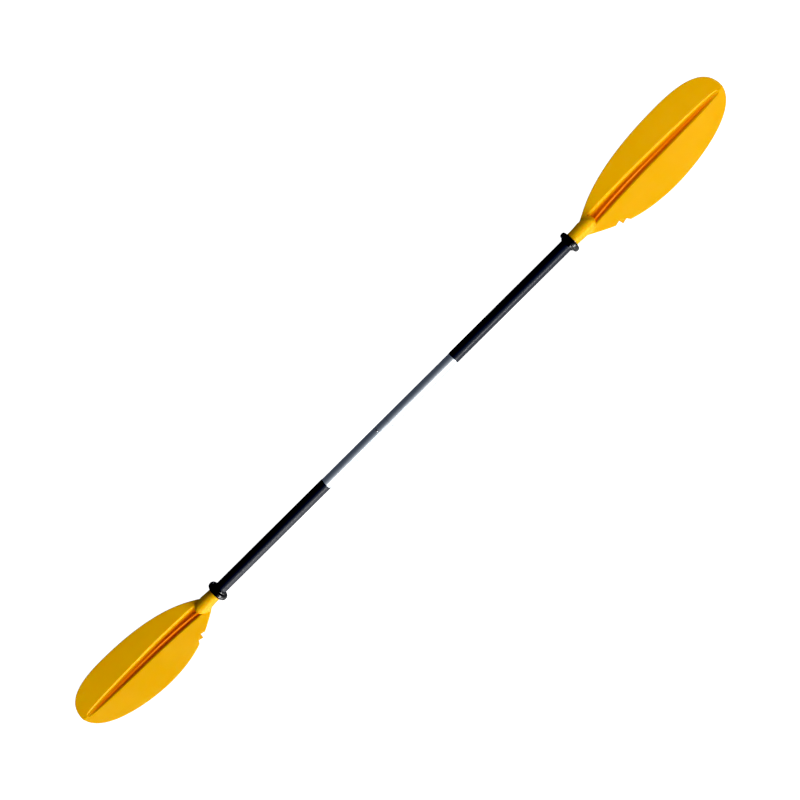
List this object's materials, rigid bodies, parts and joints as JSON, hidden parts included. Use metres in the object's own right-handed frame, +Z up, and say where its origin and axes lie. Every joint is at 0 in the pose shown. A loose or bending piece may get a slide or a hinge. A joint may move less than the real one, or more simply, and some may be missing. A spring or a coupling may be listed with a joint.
{
  "type": "kayak paddle",
  "caption": "Take-apart kayak paddle: two curved asymmetric blades, rubber grips and drip rings on a metal shaft, joined in the middle by a ferrule with a snap button.",
  "frame": {"origin": "on the floor, midway between the blade tips, under the shaft axis", "axes": "+X along the shaft to the right blade, +Y towards the long edges of the blades, +Z up out of the face shown"},
  "size_m": [2.1996, 0.1653, 0.056],
  "materials": {
    "blade_plastic": "moulded, satin gloss",
    "shaft_aluminium": "drawn and polished",
    "grip_rubber": "fine matt",
    "ring_rubber": "moulded, slightly glossy",
    "ferrule_nylon": "matt",
    "plug_foam": "closed-cell foam",
    "spring_steel": "bright",
    "rivet_metal": "satin"
  },
  "bodies": {
    "left_half": {"left_blade": "blade_plastic", "left_shaft_tube": "shaft_aluminium", "left_grip": "grip_rubber", "left_shaft_end_plug": "plug_foam", "left_bulkhead_plug": "plug_foam", "left_blade_rivet_inner": "rivet_metal", "left_blade_rivet_outer": "rivet_metal"},
    "left_drip_ring": {"left_drip_ring": "ring_rubber"},
    "seal_ring": {"ferrule_seal_ring": "ring_rubber"},
    "right_half": {"right_blade": "blade_plastic", "right_shaft_tube": "shaft_aluminium", "right_grip": "grip_rubber", "right_shaft_end_plug": "plug_foam", "right_blade_rivet_inner": "rivet_metal", "right_blade_rivet_outer": "rivet_metal", "ferrule_sleeve": "ferrule_nylon", "ferrule_end_plug": "ferrule_nylon", "ferrule_rivet_inner": "rivet_metal", "ferrule_rivet_outer": "rivet_metal"},
    "right_drip_ring": {"right_drip_ring": "ring_rubber"},
    "snap_button": {"snap_button_spring": "spring_steel"}
  },
  "joints": [
    {"name": "pull_apart", "type": "slide", "parent": "left_half", "child": "seal_ring", "axis": [1, 0, 0], "range_m": [0, 0.25]},
    {"name": "feather_turn", "type": "hinge", "parent": "seal_ring", "child": "right_half", "pos_m": [0, 0, 0.028], "axis": [-1, 0, 0], "range_deg": [0, 60]},
    {"name": "button_press", "type": "slide", "parent": "right_half", "child": "snap_button", "axis": [0, -0.3746, -0.9272], "range_m": [0, 0.0045], "stiffness_N_per_m": 2000, "springref_m": -0.002, "deforming": ["snap_button_spring"]},
    {"name": "right_ring_slide", "type": "slide", "parent": "right_half", "child": "right_drip_ring", "axis": [-1, 0, 0], "range_m": [0, 0.37]},
    {"name": "left_ring_slide", "type": "slide", "parent": "left_half", "child": "left_drip_ring", "axis": [1, 0, 0], "range_m": [0, 0.37]}
  ]
}
